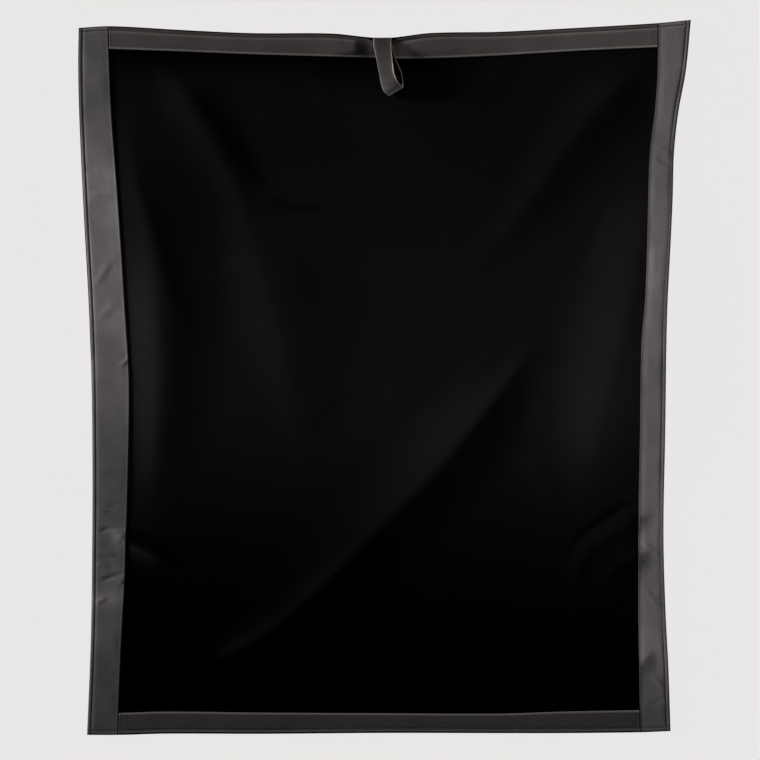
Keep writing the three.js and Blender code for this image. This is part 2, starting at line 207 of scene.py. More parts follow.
# Creases and puckers of the leather strips
LEATHER_CREASES = (
    ridge(0.8, 3.5, 3, (-300, 11), (-293, 16), (-286, 23)),
    ridge(-0.5, 3, 3, (-299, 20), (-292, 24), (-286, 30)),
    ridge(-1.4, 4, 3.5, (-322, -180), (-318, -172), (-305, -170), (-288, -170)),
    ridge(0.8, 6, 4, (-304, -188), (-297, -180), (-288, -174)),
    ridge(0.9, 3, 7, (-326, -196), (-314, -198), (-300, -199)),
    ridge(0.7, 5, 5, (-327, -213), (-318, -210), (-309, -216)),
    ridge(-1.3, 5, 3.5, (-322, -230), (-308, -224), (-291, -221)),
    ridge(0.8, 4, 3, (-300, -233), (-295, -229), (-290, -227)),
    ridge(0.9, 5, 3, (-327, -255), (-319, -250), (-311, -246)),
    ridge(0.9, 3, 5, (-325, -150), (-317, -150), (-309, -147)),
    ridge(-0.3, 4, 3, (-323, -72), (-303, -69), (-290, -68)),
    ridge(-0.25, 4, 4, (-324, -98), (-307, -95), (-292, -97)),
    ridge(-0.3, 3, 4, (-318, -110), (-300, -107), (-290, -108)),
    ridge(-0.45, 4, 4, (-326, -152), (-309, -146), (-292, -140)),
    ridge(0.5, 14, 5, (-334, 204), (-318, 207), (-302, 201)),
    ridge(0.7, 7, 9, (-328, 98), (-318, 115), (-305, 136)),
    ridge(0.5, 8, 10, (-326, 62), (-314, 72), (-300, 88)),
    ridge(-0.6, 3, 4, (-339, 236), (-332, 234), (-324, 231)),
    ridge(-0.8, 3, 4, (302, 250), (313, 243), (326, 234)),
    ridge(0.4, 6, 4, (300, 262), (314, 257), (327, 246)),
    ridge(0.55, 6, 5, (288, -182), (298, -191), (313, -202)),
    ridge(-0.4, 5, 5, (289, -205), (299, -212), (312, -216)),
    ridge(0.5, 7, 5, (289, -233), (300, -247), (312, -262)),
    ridge(-0.7, 3, 3.5, (287, -326), (296, -331), (306, -333)),
    ridge(0.8, 3, 3.5, (296, -335), (304, -339), (310, -345), (312, -354)),
    ridge(-0.6, 3, 3.5, (298, -368), (308, -365), (317, -361)),
    ridge(0.3, 9, 9, (290, 110), (302, 104), (316, 106)),
    ridge(2.6, 50, 17, (-32, 384), (-34, 372), (-32, 360)),
)
CREST_STEPS = 32
# How round a crest is, as a share of its slope's reach, and how narrow a fold gets at its ends
CREST_ROUND = 0.09
NARROWED = 0.45
# The leather's slack between its seams, as low waves: their length, direction, height and start
SLACK = (
    {"length": 61, "turned": 78, "height": 0.10, "start": 0.4},
    {"length": 38, "turned": 101, "height": 0.07, "start": 2.1},
    {"length": 93, "turned": 62, "height": 0.12, "start": 4.0},
    {"length": 27, "turned": 24, "height": 0.04, "start": 1.2},
    {"length": 49, "turned": 8, "height": 0.07, "start": 5.3},
)

# The leather's height above its underside: from an outer edge inwards, over the rolled edge and the groove
# of the topstitching, and what the turned inner edge adds to that from the inner edge outwards
ROLLED_EDGE = {
    "inwards": (0, 0.08, 0.45, 1.1, 2, 2.9, 3.3, 3.7, 4.1, 4.7, 5.6, 7.5),
    "height": (0.4, 0.85, 1.2, 1.36, 1.34, 1.1, 0.82, 0.66, 0.84, 1.1, 1.24, 1.2),
    "undrawn": (0.4, 0.85, 1.2, 1.36, 1.36, 1.34, 1.32, 1.3, 1.28, 1.26, 1.24, 1.2),
}
TURNED_EDGE = {
    "outwards": (0, 0.08, 0.35, 0.9, 1.7, 2.6, 3.6),
    "added": (-0.7, -0.32, 0.06, 0.2, 0.1, 0.02, 0),
}
STITCH_LINE = 3.7
STITCH_GROOVE = ((2.8, STITCH_LINE, 4.6), (0, 1, 0))
LEAST_LEATHER = 0.12
# The leather lies slack from so far inside its edges on, wholly so much further in, and then this much higher.
# Its creases are whole so many times nearer to the edges, where this share of them is left.
SLACK_FROM = 1.5
SLACK_OVER = 6
SLACK_LIFT = 0.3
CREASES_NEARER = 4
CREASES_LEAST = 0.35

# The loop's strap: its two ends are pared thin and caught, one on the other, under the top strip's edge
STRAP_LEFT = -12.7
STRAP_RIGHT = 7.3
STRAP_MIDDLE = (STRAP_LEFT + STRAP_RIGHT) / 2
TAB_THICK = 1.0
TAB_DEPTH = 6.0
TAB_STACK = 2 * (TAB_THICK + TAB_GAP)
# Sideways from the strap's middle: how strongly it draws in and raises the top strip
CAUGHT = {
    "sideways": (0, 11.5, 16, 24, 33, 42),
    "drawn_in": (1, 1, 0.3, 0.2, 0.08, 0),
    "raised": (1, 1, 0.75, 0.5, 0.18, 0),
}
CAUGHT_EDGE = 378.2
# The leather's rise over the tabs, from the top strip's inner edge to its outer edge
CAUGHT_RISE = {"share": (0, 1 / 3, 2 / 3, 1), "rise": (0, 0.55, 1, 1)}
# The strap from its bend over the cover's edge, down the front leg, round the fold and up the back leg:
# its left and right edges at mid thickness, and its thickness
STRAP = (
    ((-12.2, 371.5, 10.2), (7.4, 370.5, 12), 1.4),
    ((-9.7, 358.7, 11.4), (8.6, 356.5, 18.4), 1.6),
    ((-7.7, 348.5, 11.6), (9.4, 347.5, 21.2), 1.6),
    ((-5.7, 339.1, 11.4), (10.5, 339.1, 22), 1.6),
    ((-4.4, 331.5, 11.1), (13, 333.2, 20), 1.6),
    ((-3.2, 326, 10.6), (15.6, 329, 16.8), 1.6),
    ((-0.3, 320, 9.4), (18.8, 326.6, 12.8), 1.6),
    ((4.6, 316.6, 6.2), (21, 326.2, 8.4), 1.6),
    ((4.8, 319.4, 3.5), (21, 329.4, 4.6), 1.6),
    ((2.8, 326, 3.1), (20.7, 333.4, 3.2), 1.6),
    ((0.8, 334, 3.1), (20, 339.1, 3.2), 1.6),
    ((-2.6, 343.5, 3.2), (16.6, 349.2, 3.6), 1.6),
    ((-6.6, 351.5, 4), (12.5, 357.3, 5), 1.6),
    ((-9.8, 363.3, 6.4), (9.8, 367.4, 7.1), 1.6),
    ((-11.8, 372.5, 7.2), (7.9, 373.8, 7.2), 1.3),
)
# At each of those rows: painted shade on the strap's face where it tilts to the key light, painted light at the fold
STRAP_PAINTED_LIGHT = {
    "row": (-1, 0, 1, 3, 4, 5, 6, 7, 8, 9),
    "shade": (0.4, 0.5, 0.8, 0.75, 0.4, 0.1, 0, -0.5, -1.6, -1.6),
    "wear_and_highlight": (0, 0, 0, 0, 0.1, 0.2, 0.8, 1.9, 1.6, 0),
}
STRAP_STEPS = 7
BEND_STEPS = 4
# Once round the strap: the place across it, and the height in half thicknesses
STRAP_ROUND = {
    "across": (0, 0.006, 0.03, 0.07, 0.27, 0.5, 0.73, 0.93, 0.97, 0.994, 1,
               1, 0.994, 0.97, 0.73, 0.5, 0.27, 0.03, 0.006, 0),
    "height": (0.45, 0.82, 1, 1.04, 1, 1, 1, 1.04, 1, 0.82, 0.45,
               -0.45, -0.82, -1, -1, -1, -1, -1, -0.82, -0.45),
}
# Of its twenty sides, the first and last of the face, of the back and of the right cut edge, which carries painted
# light
STRAP_SIDES = ((1, 7), (13, 17), (8, 12))
STRAP_EDGE_RUBBED = ((0, 0.5, 1.6), (1, 0.8, 0))

# The angles, in degrees, from which an edge of a sheet and of the strap stays sharp
SHEET_SHARP = 60
STRAP_SHARP = 50
# How light the cloth is painted at its lower end, as a share of the rest: painted shade
LOWER_END_PAINTED_TONE = 0.05

# How many rounds settle where two lines cross, and how finely curves and pieces are divided
SETTLING_ROUNDS = 8
FINE_STEPS = 40
CLOTH_ACROSS = (1, 8, 158, 8, 1)
CLOTH_ALONG = (1, 5, 186, 5, 1)
STRIP_ACROSS = 9
SIDE_ALONG = 380
END_ALONG = 300

# The topstitching
STITCHES = {
    "Stitch pitch": 4.1 * MM,
    "Stitch length": 3.3 * MM,
    "Thread width": 0.72 * MM,
    "Thread height": 0.5 * MM,
    "Unevenness": 0.09,
    "Seed": 7,
}
# The seams' points up and across the cover, and how far the thread stands out of its groove
SEAM_UP = (-395, 393, 260)
SEAM_ACROSS = (-330, 334, 220)
THREAD_RISE = 0.12
STITCHED_SHARE = 0.84

# The leather's grain: how wide its valleys are, and how much finer and how deep its pores
PEBBLE_VALLEY = 0.32
PORES_FINER = 2.7
PORES_DEEP = 0.45
# What painted shade in grooves, painted shade and light, and wear with painted highlights do to colour and gloss
GROOVE_DARKENS = 0.45
SHADE_DARKENS = 0.55
DARK_DULLS = 0.2
WEAR_AND_HIGHLIGHT_POLISHES = 0.1
WEAR_AND_HIGHLIGHT_SHOWS = 0.6

# The size of the cloth as cut, before its sides were drawn in
CLOTH_CUT = (0.69, 0.80)
# On the cloth as cut: the raw edge that shows, and where the strips' inner edges lie
CUT_MARGIN = 1
CUT_INNER_X = (-308, 308)
CUT_INNER_Y = (-378, 366)


def eased(share):
    return share * share * (3 - 2 * share)


def rising(at, start, over, to=1):
    return to * eased(np.clip((at - start) / over, 0, 1))


def bell(at, middle, width, height=1):
    return height * np.exp(-(((at - middle) / width) ** 2))


def read(table, key, column, at):
    """A smooth curve through one column of a table, read at places along its key column."""
    keys, values = np.array(table[key], float), np.array(table[column], float)
    last = len(keys) - 1
    rows = np.arange(last + 1)
    before, after = np.maximum(rows - 1, 0), np.minimum(rows + 1, last)
    slopes = (values[after] - values[before]) / (keys[after] - keys[before])
    row = np.clip(np.searchsorted(keys, at, side="right") - 1, 0, last - 1)
    span = keys[row + 1] - keys[row]
    share = (at - keys[row]) / span
    lift = share * (1 - share) ** 2 * slopes[row] * span
    drop = share**2 * (1 - share) * slopes[row + 1] * span
    inside = values[row] + (values[row + 1] - values[row]) * eased(share) + lift - drop
    below = values[0] + slopes[0] * (at - keys[0])
    above = values[last] + slopes[last] * (at - keys[last])
    return np.where(at <= keys[0], below, np.where(at >= keys[last], above, inside))


def smooth_line(points, steps):
    """Points on a smooth curve through the given ones, so many steps to each stretch."""
    given = np.array(points, float)
    given = np.vstack([2 * given[0] - given[1], given, 2 * given[-1] - given[-2]])
    found = []
    for stretch in range(len(points) - 1):
        before, start, end, after = given[stretch : stretch + 4]
        gaps = [max(math.dist(a, b), 1e-6) ** 0.5 for a, b in ((before, start), (start, end), (end, after))]
        leave = (start - before) / gaps[0] - (end - before) / (gaps[0] + gaps[1]) + (end - start) / gaps[1]
        arrive = (end - start) / gaps[1] - (after - start) / (gaps[1] + gaps[2]) + (after - end) / gaps[2]
        leave, arrive = leave * gaps[1], arrive * gaps[1]
        for step in range(steps):
            t = step / steps
            found.append(
                start + leave * t
                + (3 * (end - start) - 2 * leave - arrive) * t**2
                + (2 * (start - end) + leave + arrive) * t**3
            )
    return np.array(found + [given[-2]])


def even_line(points, steps):
    """A smooth curve through the given points, in so many steps of one length."""
    fine = smooth_line(points, FINE_STEPS)
    run = np.concatenate([[0], np.cumsum(np.linalg.norm(np.diff(fine, axis=0), axis=1))])
    places = np.linspace(0, run[-1], steps + 1)
    return np.stack([np.interp(places, run, fine[:, axis]) for axis in range(fine.shape[1])], axis=1)


def slope_left(away):
    """The share of a fold's height that is left part of the way down its slope: steepest beside a round crest."""
    past, whole = np.hypot(away, CREST_ROUND) - CREST_ROUND, math.hypot(1, CREST_ROUND) - CREST_ROUND
    return np.maximum(1 - past / whole, 0) ** 2


def relief(folds, x, y):
    """The height that a table of folds or creases adds at places on the cover."""
    total = np.zeros(x.shape)
    for fold in folds:
        line = even_line(fold["crest"], CREST_STEPS)
        reach = max(fold["left"], fold["right"])
        low, high = line.min(axis=0) - reach, line.max(axis=0) + reach
        near = (x > low[0]) & (x < high[0]) & (y > low[1]) & (y < high[1])
        px, py = x[near], y[near]
        distance = np.full(px.shape, np.inf)
        along, on_right = np.zeros(px.shape), np.zeros(px.shape, bool)
        for step in range(CREST_STEPS):
            run = line[step + 1] - line[step]
            off_x, off_y = px - line[step][0], py - line[step][1]
            share = np.clip((off_x * run[0] + off_y * run[1]) / (run @ run), 0, 1)
            away = np.hypot(off_x - share * run[0], off_y - share * run[1])
            closer = away < distance
            distance = np.where(closer, away, distance)
            along = np.where(closer, (step + share) / CREST_STEPS, along)
            on_right = np.where(closer, run[0] * off_y - run[1] * off_x > 0, on_right)
        rise = eased(np.clip(np.minimum(along / fold["rises"], (1 - along) / fold["sinks"]), 0, 1))
        reaches = np.where(on_right, fold["right"], fold["left"]) * (NARROWED + (1 - NARROWED) * rise)
        total[near] += fold["height"] * rise * slope_left(distance / reaches)
    return total


def slack(x, y):
    total = np.zeros(x.shape)
    for wave in SLACK:
        turned = math.radians(wave["turned"])
        phase = (x * math.cos(turned) + y * math.sin(turned)) / wave["length"]
        total += wave["height"] * np.sin(2 * math.pi * phase + wave["start"])
    return total


def edges_of(strip, key):
    """Where a strip's outer and inner edges lie, at places along it."""
    return (lambda at: read(strip, key, "outer", at)), (lambda at: read(strip, key, "inner", at))


outer_left, inner_left = edges_of(LEFT_STRIP, "y")
outer_right, inner_right = edges_of(RIGHT_STRIP, "y")
outer_top, inner_top = edges_of(TOP_STRIP, "x")
outer_bottom, inner_bottom = edges_of(BOTTOM_STRIP, "x")


def caught(x, effect):
    return np.interp(np.abs(x - STRAP_MIDDLE), CAUGHT["sideways"], CAUGHT[effect])


def drawn_in_top(x):
    full = outer_top(np.array([STRAP_MIDDLE])) - CAUGHT_EDGE
    return outer_top(x) - caught(x, "drawn_in") * full


def rounded_off(fold, height, reach):
    """What comes off the top of a fold with a soft crest."""
    right = min(fold["right"], 2 * fold["left"])
    return {**fold, "height": -height * fold["height"], "left": reach * fold["left"], "right": reach * right}


CLOTH_RELIEF = (
    tuple(FOLDS.values()),
    tuple(rounded_off(FOLDS[name], *shares) for name, shares in SOFT_CRESTS.items()),
    CLOTH_CREASES,
)


def cloth_height(x, y):
    """The cloth's underside above the floor."""
    return np.maximum(sum(relief(folds, x, y) for folds in CLOTH_RELIEF), 0)


def settle(x_at, y_at, shape):
    """The places where column lines, x at a height y, cross row lines, y at a place x."""
    x = np.zeros(shape)
    for _ in range(SETTLING_ROUNDS):
        y = y_at(x)
        x = x_at(y)
    return x, y_at(x)


def between_lines(lines, place):
    """The value at a place on a row of lines that are numbered from -2, straight from one to the next."""
    stack = np.stack(np.broadcast_arrays(*lines))
    low = np.clip(np.floor(place).astype(int) + 2, 0, len(lines) - 2)
    low = np.broadcast_to(low, stack.shape[1:])
    share = place - (low - 2)
    near = np.take_along_axis(stack, low[None], 0)[0]
    far = np.take_along_axis(stack, low[None] + 1, 0)[0]
    return near + (far - near) * share


def places(counts):
    """Numbered places on the cover's lines, with so many steps from each line to the next."""
    found = [line - 2 + step / count for line, count in enumerate(counts) for step in range(count)]
    return np.array(found + [len(counts) - 2.0])


def link(name, data):
    """An object in the scene, at the origin."""
    made = bpy.data.objects.new(name, data)
    bpy.context.scene.collection.objects.link(made)
    return made


def map_and_mark(mesh, cut, marks):
    """A map of the piece as it was cut, in millimetres, and what is marked on it from point to point."""
    corners = np.zeros(len(mesh.loops), np.int64)
    mesh.loops.foreach_get("vertex_index", corners)
    mesh.uv_layers.new(name="cut").data.foreach_set("uv", (cut * MM)[corners].astype(np.float32).ravel())
    for mark, values in marks.items():
        mesh.attributes.new(mark, "FLOAT", "POINT").data.foreach_set("value", values.astype(np.float32).ravel())


def closed_sheet(name, x, y, low, high, across, along, marks):
    """A closed sheet between two heights over a grid of places, with a map of its own as it was cut."""
    rows, columns = x.shape
    count = rows * columns
    points = np.concatenate([np.stack([x, y, face], axis=-1).reshape(-1, 3) for face in (low, high)]) * MM
    at = np.arange(count).reshape(rows, columns)
    a, b = at[:-1, :-1].ravel(), at[:-1, 1:].ravel()
    c, d = at[1:, 1:].ravel(), at[1:, :-1].ravel()
    quads = [np.stack([a, b, c, d], axis=1) + count, np.stack([a, d, c, b], axis=1)]
    for edge in (at[0, :], at[:, -1], at[-1, ::-1], at[::-1, 0]):
        quads.append(np.stack([edge[:-1], edge[1:], edge[1:] + count, edge[:-1] + count], axis=1))
    mesh = bpy.data.meshes.new(name)
    mesh.from_pydata(points.tolist(), [], np.concatenate(quads).tolist())
    cut = np.stack(np.broadcast_arrays(across, along), axis=-1).reshape(-1, 2)
    both = {mark: np.tile(np.broadcast_to(values, x.shape).ravel(), 2) for mark, values in marks.items()}
    map_and_mark(mesh, np.tile(cut, (2, 1)), both)
    mesh.polygons.foreach_set("use_smooth", np.ones(len(mesh.polygons), bool))
    mesh.set_sharp_from_angle(angle=math.radians(SHEET_SHARP))
    mesh.validate()
    return link(name, mesh)


def painted_cloth_light(x, y):
    """Painted light and shade on the cloth: painted shade towards both ends and in a band below the top strip,
    painted light beside the side strips, painted shade along some creases and painted light on one side of some
    folds."""
    up = LOWER_END_PAINTED_TONE + (1 - LOWER_END_PAINTED_TONE) * rising(y + 0.08 * x, start=-300, over=300)
    up = up * (1 + bell(y, middle=-10, width=150, height=0.22) - rising(y, start=120, over=150, to=0.12))
    left = bell(x - inner_left(y), middle=14, width=22, height=0.75) * rising(-np.abs(y + 30), start=-210, over=110)
    right = bell(x - 0.16 * y, middle=228, width=44, height=0.4) * rising(-np.abs(y - 50), start=-240, over=140)
    shade_below_top = bell(np.maximum(inner_top(x) - y, 0), middle=0, width=26, height=0.8)
    shade_below_top = shade_below_top * (1 - rising(x, start=20, over=160, to=0.75))
    crease_shade = np.clip(1 - relief(PAINTED_SHADE_CREASES, x, y), 0, 1)
    return up * (1 + left + right) * (1 - shade_below_top) * crease_shade + relief(PAINTED_LIGHT_FOLDS, x, y)


def cut_cloth():
    s, t = places(CLOTH_ACROSS)[None, :], places(CLOTH_ALONG)[:, None]

    def x_at(y):
        left, right = outer_left(y), outer_right(y)
        return between_lines((
            left - np.interp(y, SIDE_REVEAL["y"], SIDE_REVEAL["left"]),
            left, inner_left(y), inner_right(y), right,
            right + np.interp(y, SIDE_REVEAL["y"], SIDE_REVEAL["right"]),
        ), s)

    def y_at(x):
        bottom, top = outer_bottom(x), outer_top(x)
        return between_lines((
            bottom - END_REVEAL, bottom, inner_bottom(x), inner_top(x), top, top + END_REVEAL,
        ), t)

    x, y = settle(x_at, y_at, (t.size, s.size))
    rest = cloth_height(x, y)
    (half_width, half_length), margin = (size / MM / 2 for size in CLOTH_CUT), CUT_MARGIN
    lines_x = (-half_width, margin - half_width, *CUT_INNER_X, half_width - margin, half_width)
    lines_y = (-half_length, margin - half_length, *CUT_INNER_Y, half_length - margin, half_length)
    numbered = np.arange(-2, 4)
    return closed_sheet(
        "panel_cloth", x, y, rest, rest + CLOTH_THICK,
        np.interp(s, numbered, lines_x), np.interp(t, numbered, lines_y), {"painted_light_and_shade": painted_cloth_light(x, y)},
    )


def stations(near, far, count, axis):
    """Places across or along a strip, as a share of the way and an offset: close together at both edges."""
    between = np.arange(1, count) / count
    shares = np.concatenate([np.zeros(len(near)), between, np.ones(len(far))])
    offsets = np.concatenate([near, near[-1] * (1 - between) - far[-1] * between, [-place for place in far[::-1]]])
    return np.expand_dims(shares, axis), np.expand_dims(offsets, axis)


def leather_height(rolled, turned, drawn):
    """The leather's height over its underside, from the distances to its rolled and its turned edges."""
    heights = [np.interp(away, ROLLED_EDGE["inwards"], ROLLED_EDGE["height"]) for away in rolled]
    undrawn = np.interp(rolled[0], ROLLED_EDGE["inwards"], ROLLED_EDGE["undrawn"])
    heights[0] = undrawn + (heights[0] - undrawn) * drawn
    height = np.min(heights, axis=0)
    for away in turned:
        height = height + np.interp(away, TURNED_EDGE["outwards"], TURNED_EDGE["added"])
    return np.maximum(height, LEAST_LEATHER)


def edge_marks(rolled, turned, wear_and_shading, drawn):
    """Wear and painted highlights along the leather's edges, and painted shade in its stitch grooves and turned side
    edges.
    """
    wear_and_highlight = np.max([np.interp(away, *wear_and_shading["rolled"]) for away in rolled], axis=0)
    turned_highlight = wear_and_shading["turned"] * np.interp(turned[0], *TURNED_HIGHLIGHT)
    grooves = [np.interp(away, *STITCH_GROOVE) for away in rolled]
    inner = wear_and_shading["drawn"] * np.interp(turned[0], *TURNED_SHADE)
    return {
        "wear_and_highlight": np.maximum(wear_and_highlight, turned_highlight),
        "groove": np.max([grooves[0] * drawn, *grooves[1:], inner], axis=0),
    }


def lay_strip(name, x, y, rolled, turned, lift, shade, wear_and_shading, drawn):
    base = cloth_height(x, y) + CLOTH_THICK + LEATHER_REST + lift
    free = np.min([np.clip((away - SLACK_FROM) / SLACK_OVER, 0, 1) for away in (*rolled, *turned)], axis=0)
    creased = np.clip(free * CREASES_NEARER, CREASES_LEAST, 1)
    uneven = relief(LEATHER_CREASES, x, y) * creased + (slack(x, y) + SLACK_LIFT) * free
    high = base + np.maximum(leather_height(rolled, turned, drawn) + uneven, LEAST_LEATHER)
    marks = {**edge_marks(rolled, turned, wear_and_shading, drawn), "shade": shade}
    layers = np.stack(np.broadcast_arrays(x, y, base, high, *marks.values()))
    if x[0, -1] < x[0, 0]:
        layers = layers[:, :, ::-1]
    if y[-1, 0] < y[0, 0]:
        layers = layers[:, ::-1]
    x, y, base, high, *values = layers
    return closed_sheet(name, x, y, base, high, x, y, dict(zip(marks, values)))


def drawn_in(wear_and_shading, y):
    """How deep the topstitching of a side strip draws it in, as a share of the whole groove."""
    return np.interp(y, wear_and_shading["drawn_y"], wear_and_shading["drawn"])


def side_strip(name, outer, inner, wear_and_shading):
    """A side strip runs the cover's full height, with the rolled edge round its two ends as well."""
    share, offset = stations(ROLLED_EDGE["inwards"], TURNED_EDGE["outwards"], STRIP_ACROSS, 0)
    up_share, up_offset = stations(ROLLED_EDGE["inwards"], ROLLED_EDGE["inwards"], SIDE_ALONG, 1)

    def x_at(y):
        width = inner(y) - outer(y)
        return outer(y) + width * share + np.sign(width) * offset

    def y_at(x):
        bottom, top = outer_bottom(x), outer_top(x)
        return bottom + (top - bottom) * up_share + up_offset

    x, y = settle(x_at, y_at, (up_share.size, share.size))
    out, inwards = np.abs(x - outer(y)), np.abs(inner(y) - x)
    rolled = (out, outer_top(x) - y, y - outer_bottom(x))
    # Painted shade on the upper part of the rolled edge, and painted light and shade along the strip
    edge = np.where(out < STITCH_LINE, rising(y, wear_and_shading["edge_from"], wear_and_shading["edge_over"], wear_and_shading["edge"]), 0)
    shade = edge + np.interp(y, wear_and_shading["y"], wear_and_shading["shade"])
    return lay_strip(name, x, y, rolled, (inwards,), 0, shade, EDGE_WEAR_HIGHLIGHT_AND_SHADE["side"], drawn_in(wear_and_shading, y))


def end_strip(name, outer, inner, lift, shaded, wear_and_shading):
    """An end strip lies between the side strips, with turned edges where it meets them."""
    share, offset = stations(ROLLED_EDGE["inwards"], TURNED_EDGE["outwards"], STRIP_ACROSS, 1)
    on_share, on_offset = stations(TURNED_EDGE["outwards"], TURNED_EDGE["outwards"], END_ALONG, 0)

    def x_at(y):
        left, right = inner_left(y) + SEAM_GAP, inner_right(y) - SEAM_GAP
        return left + (right - left) * on_share + on_offset

    def y_at(x):
        width = inner(x) - outer(x)
        return outer(x) + width * share + np.sign(width) * offset

    x, y = settle(x_at, y_at, (share.size, on_share.size))
    out, inwards = np.abs(y - outer(x)), np.abs(inner(x) - y)
    ends = (x - inner_left(y) - SEAM_GAP, inner_right(y) - SEAM_GAP - x)
    raised = lift(x, inwards / np.maximum(inwards + out, 1))
    shade = np.interp(out, *END_EDGE) + shaded(x, out)
    return lay_strip(name, x, y, (out,), (inwards, *ends), raised, shade, wear_and_shading, 1)


def tab_lift(x, share):
    """The top strip rises over the strap's two caught ends."""
    return TAB_STACK * np.interp(share, CAUGHT_RISE["share"], CAUGHT_RISE["rise"]) * caught(x, "raised")


def top_shade(x, out):
    """Painted shade on the top strip left of the strap, where the strap draws the leather in, and a little over the
    rest;
    painted light right of the strap, where the loop's shadow falls, and towards both ends."""
    left = bell(x, middle=STRAP_LEFT - 9, width=10, height=1.1) * np.clip(out / 5, 0, 1)
    left = left + bell(x, middle=STRAP_LEFT - 32, width=14, height=0.5)
    right = bell(x, middle=STRAP_RIGHT + 14, width=14, height=-2.6) * np.clip((out - 4) / 4, 0, 1)
    return left + right + 0.1 - rising(-x, start=200, over=80, to=0.15) - rising(x, start=60, over=160, to=0.75)


def strap_sections():
    """The strap from one caught end to the other: its left and right edges and its thickness."""
    bend_y = CAUGHT_EDGE + TAB_GAP
    bend_z = CLOTH_THICK + TAB_GAP + TAB_STACK + LEATHER_THICK / 2
    front = bend_z - CLOTH_THICK - TAB_GAP - TAB_THICK / 2
    back = front - TAB_THICK - TAB_GAP

    def tab_and_bend(radius):
        ways = [(bend_y - TAB_DEPTH, bend_z - radius), (bend_y - TAB_DEPTH / 2, bend_z - radius)]
        for step in range(BEND_STEPS + 1):
            angle = math.pi * (step / BEND_STEPS - 0.5)
            ways.append((bend_y + radius * math.cos(angle), bend_z + radius * math.sin(angle)))
        return [((STRAP_LEFT, y, z), (STRAP_RIGHT, y, z), TAB_THICK) for y, z in ways]

    return [*tab_and_bend(front), *STRAP, *reversed(tab_and_bend(back))]


def fold_strap(name):
    sections = strap_sections()
    lefts = smooth_line([left for left, _, _ in sections], STRAP_STEPS)
    rights = smooth_line([right for _, right, _ in sections], STRAP_STEPS)
    steps = len(lefts)
    thick = np.interp(np.arange(steps) / STRAP_STEPS, np.arange(len(sections)), [t for _, _, t in sections])
    middles = (lefts + rights) / 2
    runs = np.diff(middles, axis=0)
    along = np.vstack([runs[:1], runs[:-1] + runs[1:], runs[-1:]])
    outwards = np.cross(along, rights - lefts)
    outwards /= np.linalg.norm(outwards, axis=1)[:, None]
    share, height = np.array(STRAP_ROUND["across"]), np.array(STRAP_ROUND["height"])
    points = (
        lefts[:, None] * (1 - share)[None, :, None] + rights[:, None] * share[None, :, None]
        + outwards[:, None] * (height[None, :, None] * thick[:, None, None] / 2)
    )
    at = np.arange(steps * len(share)).reshape(steps, -1)
    after = np.roll(at, -1, axis=1)
    quads = np.stack([at[:-1], after[:-1], after[1:], at[1:]], axis=-1).swapaxes(0, 1)
    faces = [*quads.reshape(-1, 4).tolist(), at[0, ::-1].tolist(), at[-1].tolist()]
    finish = np.full(len(share), len(STRAP_SIDES))
    for number, (start, last) in enumerate(STRAP_SIDES):
        finish[start : last + 1] = number
    finishes = [*np.repeat(finish, steps - 1), *[len(STRAP_SIDES)] * 2]
    mesh = bpy.data.meshes.new(name)
    mesh.from_pydata((points.reshape(-1, 3) * MM).tolist(), [], faces)
    mesh.polygons.foreach_set("use_smooth", np.ones(len(faces), bool))
    mesh.polygons.foreach_set("material_index", np.array(finishes, np.int32))
    run = np.concatenate([[0], np.cumsum(np.linalg.norm(runs, axis=1))])
    width = STRAP_RIGHT - STRAP_LEFT
    cut = np.stack(np.broadcast_arrays(share[None, :] * width, run[:, None]), -1).reshape(-1, 2)
    edge = np.minimum(share, 1 - share) * width
    row = np.arange(steps) / STRAP_STEPS - (len(sections) - len(STRAP)) / 2
    # The strap's painted shade along its face, and its painted light at the fold
    worn, shade = (np.interp(row, STRAP_PAINTED_LIGHT["row"], STRAP_PAINTED_LIGHT[mark])[:, None] for mark in ("wear_and_highlight", "shade"))
    map_and_mark(mesh, cut, {
        "wear_and_highlight": np.maximum(np.interp(edge, *STRAP_EDGE_RUBBED)[None], worn),
        "shade": np.broadcast_to(shade, at.shape),
    })
    mesh.set_sharp_from_angle(angle=math.radians(STRAP_SHARP))
    return link(name, mesh), run[-1] * MM


def feed(tree, socket, value):
    """Set a socket to a value, or link it to another socket."""
    if isinstance(value, bpy.types.NodeSocket):
        tree.links.new(value, socket)
    else:
        socket.default_value = value


def add(tree, kind, inputs=None, **settings):
    """The outputs of a new node with these settings, and with values or links on its inputs."""
    node = tree.nodes.new(kind)
    for setting, value in settings.items():
        setattr(node, setting, value)
    for socket, value in (inputs or {}).items():
        feed(tree, node.inputs[socket], value)
    return node.outputs


def first(tree, kind, inputs=None, **settings):
    return add(tree, kind, inputs, **settings)[0]


def calculated(tree, operation, one, other):
    return first(tree, "ShaderNodeMath", {0: one, 1: other}, operation=operation)


def times(tree, one, other):
    return calculated(tree, "MULTIPLY", one, other)


def plus(tree, one, other):
    return calculated(tree, "ADD", one, other)


def minus(tree, one, other):
    return calculated(tree, "SUBTRACT", one, other)


def sockets(tree, way, named):
    for name, kind, *value in named:
        socket = tree.interface.new_socket(name, in_out=way, socket_type="NodeSocket" + kind)
        if value:
            socket.default_value = value[0]


